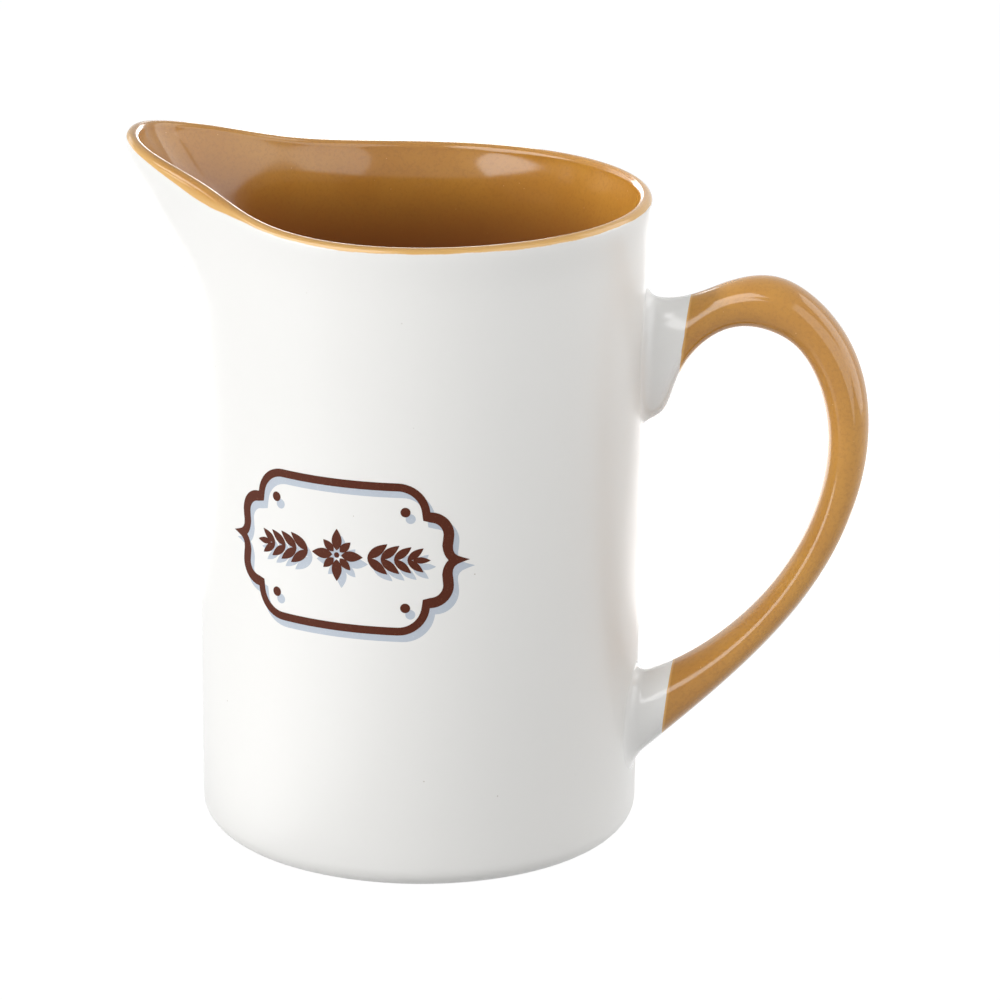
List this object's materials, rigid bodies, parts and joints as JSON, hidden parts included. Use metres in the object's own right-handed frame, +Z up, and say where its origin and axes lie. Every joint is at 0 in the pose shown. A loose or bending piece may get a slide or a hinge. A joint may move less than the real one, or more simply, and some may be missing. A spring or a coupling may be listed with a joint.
{
  "type": "stoneware jug",
  "caption": "Straight-sided white stoneware jug with a pulled pouring spout, caramel-glazed inside and lip, and a strap handle opposite the spout.",
  "frame": {"origin": "middle of the foot, on the axis of the pot, on the surface that the jug stands on", "axes": "+Z up along the pot's axis, +X towards the handle, -X towards the spout; the printed plaque faces -Y"},
  "size_m": [0.1483, 0.0904, 0.1415],
  "materials": {
    "white_glaze": "satin white glaze on the outside and the handle's roots",
    "caramel_glaze": "glossy caramel glaze on the inside, the lip and the handle",
    "bare_stoneware": "unglazed foot ring",
    "brown_print": "brown printed line under the glaze",
    "grey_print": "pale grey printed shadow under the glaze"
  },
  "bodies": {
    "root": {"jug": "white_glaze"}
  },
  "joints": []
}
